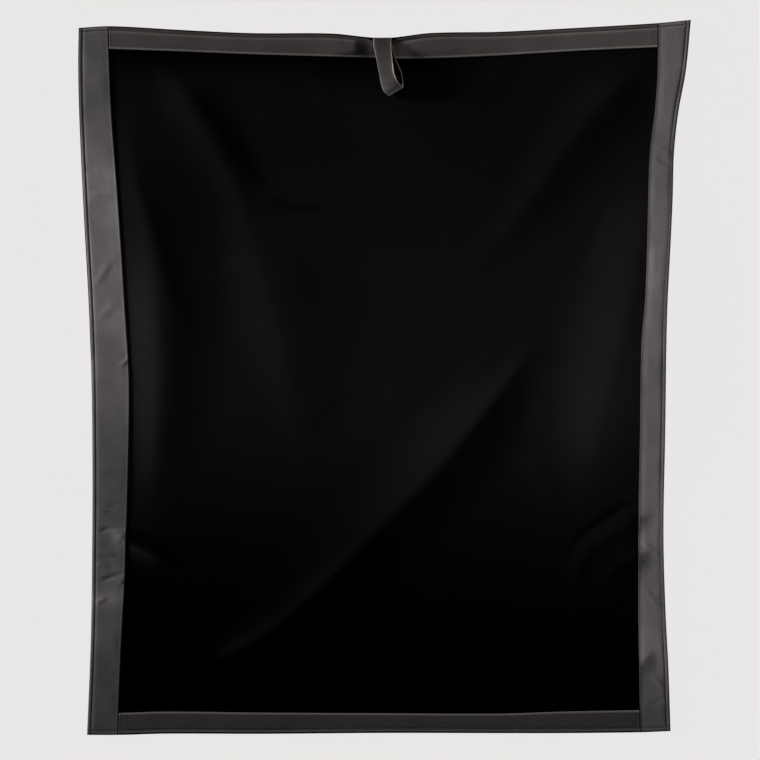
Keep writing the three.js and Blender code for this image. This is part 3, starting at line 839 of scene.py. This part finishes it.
def stitch_tree(thread):
    """Stitches of one pitch along the seam lines, each a short length of thread that dips at its ends."""
    tree = bpy.data.node_groups.new("topstitching", "GeometryNodeTree")
    numbers = [(name, "Int" if name == "Seed" else "Float") for name in STITCHES]
    sockets(tree, "INPUT", [("Seam lines", "Geometry"), *numbers])
    sockets(tree, "OUTPUT", [("Stitches", "Geometry")])
    given = add(tree, "NodeGroupInput")
    curve = first(tree, "GeometryNodeMeshToCurve", {"Mesh": given["Seam lines"]})
    even = first(
        tree, "GeometryNodeResampleCurve", {"Curve": curve, "Length": given["Stitch pitch"]}, mode="LENGTH",
    )
    ball = add(tree, "GeometryNodeMeshUVSphere", {"Segments": 8, "Rings": 7, "Radius": 0.5})
    mapped = first(
        tree, "GeometryNodeStoreNamedAttribute",
        {"Geometry": ball["Mesh"], "Name": "cut", "Value": ball["UV Map"]}, data_type="FLOAT2", domain="CORNER",
    )
    lying = first(tree, "GeometryNodeTransform", {"Geometry": mapped, "Rotation": Euler((0, math.pi / 2, 0))})
    heading = first(
        tree, "FunctionNodeAlignRotationToVector", {"Vector": first(tree, "GeometryNodeInputTangent")}, axis="X",
    )
    least = times(tree, given["Unevenness"], -1.0)
    skew = first(tree, "FunctionNodeRandomValue", {
        0: first(tree, "ShaderNodeCombineXYZ", {"Z": least}),
        1: first(tree, "ShaderNodeCombineXYZ", {"Z": given["Unevenness"]}),
        "Seed": given["Seed"],
    }, data_type="FLOAT_VECTOR")
    spin = first(tree, "FunctionNodeRotateRotation", {
        "Rotation": heading, "Rotate By": first(tree, "FunctionNodeEulerToRotation", {0: skew}),
    }, rotation_space="LOCAL")
    longer = add(tree, "FunctionNodeRandomValue", {
        2: minus(tree, 1.0, given["Unevenness"]),
        3: plus(tree, 1.0, given["Unevenness"]),
        "Seed": plus(tree, given["Seed"], 1.0),
    }, data_type="FLOAT")[1]
    size = first(tree, "ShaderNodeCombineXYZ", {
        "X": times(tree, given["Stitch length"], longer),
        "Y": given["Thread width"], "Z": given["Thread height"],
    })
    sewn = first(tree, "GeometryNodeInstanceOnPoints", {
        "Points": even, "Instance": lying, "Rotation": spin, "Scale": size,
    })
    real = first(tree, "GeometryNodeRealizeInstances", {"Geometry": sewn})
    smooth = first(tree, "GeometryNodeSetShadeSmooth", {"Geometry": real})
    finished = first(tree, "GeometryNodeSetMaterial", {"Geometry": smooth, "Material": thread})
    add(tree, "NodeGroupOutput", {0: finished})
    return tree


def seam_lines():
    """The four lines of topstitching, in the groove inside each outer edge, broken where the strap lies."""
    inset = STITCH_LINE
    ys, xs = np.linspace(*SEAM_UP), np.linspace(*SEAM_ACROSS)
    groove, undrawn = (np.interp(inset, ROLLED_EDGE["inwards"], ROLLED_EDGE[edge]) for edge in ("height", "undrawn"))
    lines = []
    for outer, way, wear_and_shading in ((outer_left, 1, LEFT_SHADE_AND_DRAW), (outer_right, -1, RIGHT_SHADE_AND_DRAW)):
        x = outer(ys) + way * inset
        inside = (ys > outer_bottom(x) + inset) & (ys < outer_top(x) - inset)
        lines.append((x[inside], ys[inside], (undrawn - groove) * (1 - drawn_in(wear_and_shading, ys[inside]))))
    for outer, way, lift in ((outer_bottom, 1, np.zeros(xs.shape)), (drawn_in_top, -1, tab_lift(xs, STITCHED_SHARE))):
        y = outer(xs) + way * inset
        inside = (xs > outer_left(y) + inset) & (xs < outer_right(y) - inset)
        beside = [xs < STRAP_LEFT - 1, xs > STRAP_RIGHT + 1] if way < 0 else [inside]
        lines += [(xs[inside & part], y[inside & part], lift[inside & part]) for part in beside]
    points, edges = [], []
    for x, y, lift in lines:
        z = cloth_height(x, y) + CLOTH_THICK + LEATHER_REST + lift + groove + THREAD_RISE
        edges += [(len(points) + step, len(points) + step + 1) for step in range(len(x) - 1)]
        points += (np.stack([x, y, z], 1) * MM).tolist()
    mesh = bpy.data.meshes.new("seam lines")
    mesh.from_pydata(points, edges, [])
    return mesh


def sew(name, thread):
    guide = link("seam lines", seam_lines())
    modifier = guide.modifiers.new("topstitching", "NODES")
    modifier.node_group = stitch_tree(thread)
    for socket in modifier.node_group.interface.items_tree:
        if socket.in_out == "INPUT" and socket.name in STITCHES:
            modifier[socket.identifier] = STITCHES[socket.name]
    made = bpy.data.meshes.new_from_object(guide.evaluated_get(bpy.context.evaluated_depsgraph_get()))
    made.name = name
    guide.modifiers.remove(modifier)
    bpy.data.objects.remove(guide)
    return link(name, made)


def group(name, inputs, outputs):
    tree = bpy.data.node_groups.new(name, "ShaderNodeTree")
    sockets(tree, "INPUT", inputs)
    sockets(tree, "OUTPUT", outputs)
    return tree, add(tree, "NodeGroupInput"), tree.nodes.new("NodeGroupOutput").inputs


def placed(tree, shared, inputs):
    return add(tree, "ShaderNodeGroup", inputs, node_tree=shared)


def ramp(tree, value, low, high, to_low=0.0, to_high=1.0):
    return first(tree, "ShaderNodeMapRange", {
        "Value": value, "From Min": low, "From Max": high, "To Min": to_low, "To Max": to_high,
    }, clamp=True, interpolation_type="SMOOTHSTEP")


def noise(tree, place, scale, detail, roughness=0.5):
    return add(tree, "ShaderNodeTexNoise", {
        "Vector": place, "Scale": scale, "Detail": detail, "Roughness": roughness,
    })


def blend_colours(tree, factor, one, other, kind="MIX"):
    return add(tree, "ShaderNodeMix", {0: factor, 6: one, 7: other}, data_type="RGBA", blend_type=kind)[2]


def patches_group():
    """Large soft patches where a dye or a nap lies lighter and darker."""
    tree, given, result = group(
        "soft patches",
        [("Place", "Vector"), ("Patch size", "Float", 0.06), ("Strength", "Float", 0.1)],
        [("Factor", "Float")],
    )
    scale = calculated(tree, "DIVIDE", 1.0, given["Patch size"])
    signed = minus(tree, noise(tree, given["Place"], scale, 3.0)[0], 0.5)
    spread = times(tree, signed, times(tree, given["Strength"], 4.0))
    feed(tree, result["Factor"], plus(tree, spread, 1.0))
    return tree


def grain_group():
    """Leather grain: small pebbles that vary in size, and finer pores between them."""
    tree, given, result = group(
        "leather grain",
        [("Place", "Vector"), ("Pebble size", "Float", 0.001), ("Wander", "Float", 0.4)],
        [("Height", "Float"), ("Valleys", "Float")],
    )
    scale = calculated(tree, "DIVIDE", 1.0, given["Pebble size"])
    stir = noise(tree, given["Place"], scale, 1.0)["Color"]
    shift = first(tree, "ShaderNodeVectorMath", {0: stir, 1: (0.5, 0.5, 0.5)}, operation="SUBTRACT")
    reach = times(tree, given["Pebble size"], given["Wander"])
    moved = first(tree, "ShaderNodeVectorMath", {0: shift, "Scale": reach}, operation="SCALE")
    spot = first(tree, "ShaderNodeVectorMath", {0: given["Place"], 1: moved}, operation="ADD")
    cells = first(tree, "ShaderNodeTexVoronoi", {"Vector": spot, "Scale": scale}, feature="DISTANCE_TO_EDGE")
    pebble = ramp(tree, cells, 0.0, PEBBLE_VALLEY)
    pores = times(tree, noise(tree, given["Place"], times(tree, scale, PORES_FINER), 4.0)[0], PORES_DEEP)
    feed(tree, result["Height"], plus(tree, pebble, pores))
    feed(tree, result["Valleys"], minus(tree, 1.0, pebble))
    return tree


def lint_group():
    """A few specks of lint and dust."""
    tree, given, result = group(
        "lint and dust",
        [("Place", "Vector"), ("Spacing", "Float", 0.02), ("Speck size", "Float", 0.0006), ("Amount", "Float", 0.5)],
        [("Mask", "Float")],
    )
    scale = calculated(tree, "DIVIDE", 1.0, given["Spacing"])
    spots = add(tree, "ShaderNodeTexVoronoi", {"Vector": given["Place"], "Scale": scale}, feature="F1")
    away = times(tree, spots["Distance"], given["Spacing"])
    chosen = add(tree, "ShaderNodeSeparateColor", {0: spots["Color"]})
    size = times(tree, given["Speck size"], chosen[1])
    inside = calculated(tree, "LESS_THAN", away, size)
    some = calculated(tree, "LESS_THAN", chosen[0], given["Amount"])
    feed(tree, result["Mask"], times(tree, inside, some))
    return tree


def wear_and_painted_light_group():
    """Wear and painted highlights along edges, painted shade in grooves, and painted shade and light elsewhere on
    leather.
    """
    tree, given, result = group(
        "wear and painted light",
        [
            ("Colour", "Color"), ("Rubbed colour", "Color"), ("Rubbed", "Float"), ("Groove", "Float"),
            ("Shade", "Float"), ("Patches", "Float", 1.0), ("Polish", "Float", 0.5),
        ],
        [("Colour", "Color"), ("Roughness", "Float")],
    )

    def part(name, share):
        return times(tree, given[name], share)

    even = blend_colours(tree, 1.0, given["Colour"], given["Patches"], "MULTIPLY")
    worn = blend_colours(tree, given["Rubbed"], even, given["Rubbed colour"])
    dark = minus(tree, 1.0, part("Groove", GROOVE_DARKENS))
    dim = minus(tree, 1.0, part("Shade", SHADE_DARKENS))
    both = times(tree, dark, dim)
    feed(tree, result["Colour"], blend_colours(tree, 1.0, worn, both, "MULTIPLY"))
    deep = times(tree, calculated(tree, "MAXIMUM", given["Shade"], 0.0), DARK_DULLS)
    dull = plus(tree, plus(tree, given["Polish"], part("Groove", DARK_DULLS)), deep)
    feed(tree, result["Roughness"], minus(tree, dull, part("Rubbed", WEAR_AND_HIGHLIGHT_POLISHES)))
    return tree


PATCHES = patches_group()
GRAIN = grain_group()
LINT = lint_group()
WEAR_AND_PAINTED_LIGHT = wear_and_painted_light_group()


def new_material(name):
    made = bpy.data.materials.new(name)
    made.use_nodes = True
    tree = made.node_tree
    tree.nodes.clear()
    surface = tree.nodes.new("ShaderNodeBsdfPrincipled")
    add(tree, "ShaderNodeOutputMaterial", {"Surface": surface.outputs[0]})
    return made, tree, surface.inputs


def object_place(tree):
    return add(tree, "ShaderNodeTexCoord")["Object"]


def attribute(tree, name):
    return add(tree, "ShaderNodeAttribute", attribute_name=name, attribute_type="GEOMETRY")["Fac"]


def patchy(tree, spot, size, strength, tone):
    """A tone that lies lighter and darker in large soft patches."""
    patches = placed(tree, PATCHES, {"Place": spot, "Patch size": size, "Strength": strength})
    return times(tree, patches["Factor"], tone)


def speckled(tree, spot, colour, specks, shows, spacing, size):
    """A colour with a few specks of lint or dust on it."""
    lint = placed(tree, LINT, {"Place": spot, "Spacing": spacing, "Speck size": size, "Amount": 0.3})
    return blend_colours(tree, times(tree, lint["Mask"], shows), colour, specks)


def own_map(tree):
    return first(tree, "ShaderNodeUVMap", uv_map="cut")


def finish_surface(tree, surface, colour, height, strength, depth, roughness, specular=0.0):
    """Give a surface its colour, its gloss, and the fine relief of its shading."""
    relieved = first(tree, "ShaderNodeBump", {"Height": height, "Strength": strength, "Distance": depth})
    feed(tree, surface["Base Color"], colour)
    feed(tree, surface["Normal"], relieved)
    feed(tree, surface["Roughness"], roughness)
    feed(tree, surface["Specular IOR Level"], specular)


def leather(name, colour, wear_and_highlight, polish=0.78, strength=0.1, specular=0.04):
    """Dyed leather: a fine grain, soft patches in its dye, worn edges and painted highlights, painted shade and
    light, a little dust.
    """
    made, tree, surface = new_material(name)
    spot = object_place(tree)
    grain = placed(tree, GRAIN, {"Place": spot, "Pebble size": 0.0011, "Wander": 0.5})
    valley = ramp(tree, grain["Valleys"], 0.3, 1.0, 1.0, 0.82)
    worn_and_painted = placed(tree, WEAR_AND_PAINTED_LIGHT, {
        "Colour": colour, "Rubbed colour": wear_and_highlight,
        "Rubbed": times(tree, attribute(tree, "wear_and_highlight"), WEAR_AND_HIGHLIGHT_SHOWS),
        "Groove": attribute(tree, "groove"), "Shade": attribute(tree, "shade"),
        "Patches": patchy(tree, spot, 0.045, strength, valley), "Polish": polish,
    })
    dusty = speckled(tree, spot, worn_and_painted["Colour"], (0.35, 0.34, 0.32, 1), shows=0.25, spacing=0.016, size=0.0005)
    finish_surface(tree, surface, dusty, grain["Height"], 0.7, 0.00012, worn_and_painted["Roughness"], specular)
    return made


def felted_cloth(name):
    """Dense black cloth: felted fibres over a faint weave, with a little lint."""
    made, tree, surface = new_material(name)
    spot, cut = object_place(tree), own_map(tree)
    fibres, tufts = noise(tree, spot, 2600.0, 5.0, 0.65)[0], noise(tree, spot, 420.0, 3.0)[0]
    warp, weft = (
        add(
            tree, "ShaderNodeTexWave", {"Vector": cut, "Scale": 190.0, "Distortion": 1.6, "Detail": 2.0},
            wave_type="BANDS", bands_direction=direction,
        )["Fac"]
        for direction in ("X", "Y")
    )
    weave = times(tree, times(tree, warp, weft), 0.3)
    height = plus(tree, times(tree, fibres, 0.9), tufts)
    height = plus(tree, height, weave)
    # The cloth's tone carries the painted light and shade held in the cloth mesh's attribute
    tone = patchy(tree, spot, 0.16, 0.12, attribute(tree, "painted_light_and_shade"))
    fuzzy = times(tree, tone, ramp(tree, fibres, 0.3, 0.7, 0.75, 1.25))
    base = blend_colours(tree, 1.0, (0.0052, 0.0047, 0.0051, 1), fuzzy, "MULTIPLY")
    linty = speckled(tree, spot, base, (0.06, 0.058, 0.055, 1), shows=0.5, spacing=0.03, size=0.0006)
    finish_surface(tree, surface, linty, height, strength=0.5, depth=0.00025, roughness=0.95)
    return made


def flesh_side(name, colour):
    """The unfinished side of leather: short fibres, matt."""
    made, tree, surface = new_material(name)
    spot = object_place(tree)
    fibres = noise(tree, spot, 1800.0, 5.0, 0.7)[0]
    tone = patchy(tree, spot, 0.006, 0.2, ramp(tree, fibres, 0.3, 0.7, 0.7, 1.3))
    dyed = blend_colours(tree, 1.0, colour, tone, "MULTIPLY")
    finish_surface(tree, surface, dyed, fibres, strength=0.8, depth=0.0003, roughness=0.9)
    return made


def sewing_thread(name):
    """Grey thread of two plies, twisted along each stitch."""
    made, tree, surface = new_material(name)
    spot, cut = object_place(tree), own_map(tree)
    twist = add(
        tree, "ShaderNodeTexWave", {"Vector": cut, "Scale": 1.6, "Distortion": 0.3},
        wave_type="BANDS", bands_direction="DIAGONAL",
    )["Fac"]
    tone = patchy(tree, spot, 0.01, 0.15, ramp(tree, twist, 0.1, 0.8, 0.6, 1.1))
    colour = blend_colours(tree, 1.0, (0.05, 0.047, 0.045, 1), tone, "MULTIPLY")
    finish_surface(tree, surface, colour, twist, strength=0.8, depth=0.00015, roughness=0.7, specular=0.5)
    return made


FLOOR_LOOK = {
    "Base Color": (0.015, 0.015, 0.015, 1),
    "Roughness": 0.9,
    "Specular IOR Level": 0.0,
    "Emission Color": (1.0, 0.981, 0.971, 1),
    "Emission Strength": 0.803,
}


def pale_floor(name):
    """A pale studio floor that is lit evenly from within, so that only a faint shadow falls on it."""
    made, _, surface = new_material(name)
    for socket, value in FLOOR_LOOK.items():
        surface[socket].default_value = value
    return made


def finish_piece(piece, node, *materials):
    for material in materials:
        piece.data.materials.append(material)
    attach(piece, "root")
    if node:
        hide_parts(node)
    return piece


# One grey leather: the strips' differing colours are painted light and shade, the right lightest, the bottom darkest
left_leather = leather("left strip leather", (0.0925, 0.0863, 0.0873, 1), (0.134, 0.125, 0.125, 1), strength=0.2)
right_leather = leather("right strip leather", (0.1355, 0.126, 0.127, 1), (0.142, 0.132, 0.132, 1), strength=0.14)
top_leather = leather("top strip leather", (0.0563, 0.05, 0.0493, 1), (0.14, 0.127, 0.122, 1))
bottom_leather = leather("bottom strip leather", (0.0272, 0.0244, 0.0254, 1), (0.086, 0.078, 0.077, 1))
loop_leather = leather(
    "loop leather", (0.037, 0.0315, 0.0315, 1), (0.2, 0.184, 0.184, 1), polish=0.75, strength=0.06, specular=0.08,
)
loop_back = flesh_side("loop flesh side", (0.0035, 0.0021, 0.0019, 1))
# The right cut edge faces away from the key light; its light colour is painted light
lit_cut_edge = flesh_side("cut leather edge in painted light", (0.45, 0.4, 0.34, 1))
worn_edge = flesh_side("worn leather edge", (0.2, 0.18, 0.16, 1))
thread = sewing_thread("grey thread")
black_cloth = felted_cloth("black felted cloth")

panel = finish_piece(cut_cloth(), "cloth_panel", black_cloth)
left = finish_piece(side_strip("strip_left", outer_left, inner_left, LEFT_SHADE_AND_DRAW), "border_left", left_leather)
right = finish_piece(side_strip("strip_right", outer_right, inner_right, RIGHT_SHADE_AND_DRAW), "border_right", right_leather)
top = finish_piece(
    end_strip("strip_top", drawn_in_top, inner_top, tab_lift, top_shade, EDGE_WEAR_HIGHLIGHT_AND_SHADE["top"]),
    "border_top", top_leather,
)
bottom = finish_piece(
    end_strip("strip_bottom", outer_bottom, inner_bottom, lambda x, share: 0, lambda x, out: 0, EDGE_WEAR_HIGHLIGHT_AND_SHADE["bottom"]),
    "border_bottom", bottom_leather,
)
strap, strap_length = fold_strap("loop_strap")
finish_piece(strap, "hanging_loop", loop_leather, loop_back, lit_cut_edge, worn_edge)
stitches = sew("topstitching", thread)
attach(stitches, "root")

# The studio: a pale floor, a large soft light from the upper left, a weaker one from the right, and a little
# light from all round
FLOOR_SIZE = 14.0
FLOOR_DROP = -0.2 * MM
KEY = {"at": (-11.6, 3.1, 2.3), "size": 2.6, "power": 4600}
SIDE = {"at": (1.6, -0.9, 1.5), "size": 0.9, "power": 12}
LAMP_COLOUR = (1.0, 0.985, 0.97)
ROUND_LIGHT = {"Color": (1.0, 0.985, 0.975, 1), "Strength": 0.05}
BACKDROP = {"Color": (0.812, 0.797, 0.788, 1), "Strength": 1.0}
# The camera looks straight down, and takes in a frame of this width at this height over the floor
CAMERA_AT = (-5.2 * MM, -2.9 * MM)
FRAME_WIDTH = 855 * MM
FRAME_HEIGHT = 3 * MM
LENS = 85
SENSOR = 36


def studio_light(name, at, size, power):
    lamp = bpy.data.lights.new(name, "AREA")
    lamp.shape, lamp.size, lamp.energy = "SQUARE", size, power
    lamp.color = LAMP_COLOUR
    shown = link(name, lamp)
    shown.location = at
    shown.rotation_euler = (-shown.location).to_track_quat("-Z", "Y").to_euler()


half = FLOOR_SIZE / 2
floor_mesh = bpy.data.meshes.new("floor")
corners = [(-half, -half, FLOOR_DROP), (half, -half, FLOOR_DROP), (half, half, FLOOR_DROP), (-half, half, FLOOR_DROP)]
floor_mesh.from_pydata(corners, [], [(0, 1, 2, 3)])
floor_mesh.materials.append(pale_floor("pale floor"))
floor = link("floor", floor_mesh)

studio_light("key light", **KEY)
studio_light("side light", **SIDE)

world = bpy.data.worlds.new("studio")
world.use_nodes = True
bpy.context.scene.world = world
air = world.node_tree
air.nodes.clear()
camera_ray = add(air, "ShaderNodeLightPath")["Is Camera Ray"]
seen = first(air, "ShaderNodeBackground", BACKDROP)
lit = first(air, "ShaderNodeBackground", ROUND_LIGHT)
add(air, "ShaderNodeOutputWorld", {"Surface": first(air, "ShaderNodeMixShader", {0: camera_ray, 1: lit, 2: seen})})

eye = bpy.data.cameras.new("camera")
eye.lens, eye.sensor_width = LENS, SENSOR
camera = link("camera", eye)
camera.location = (*CAMERA_AT, FRAME_WIDTH * LENS / SENSOR + FRAME_HEIGHT)
bpy.context.scene.camera = camera

settings = bpy.context.scene.view_settings
settings.view_transform, settings.look = "Standard", "None"
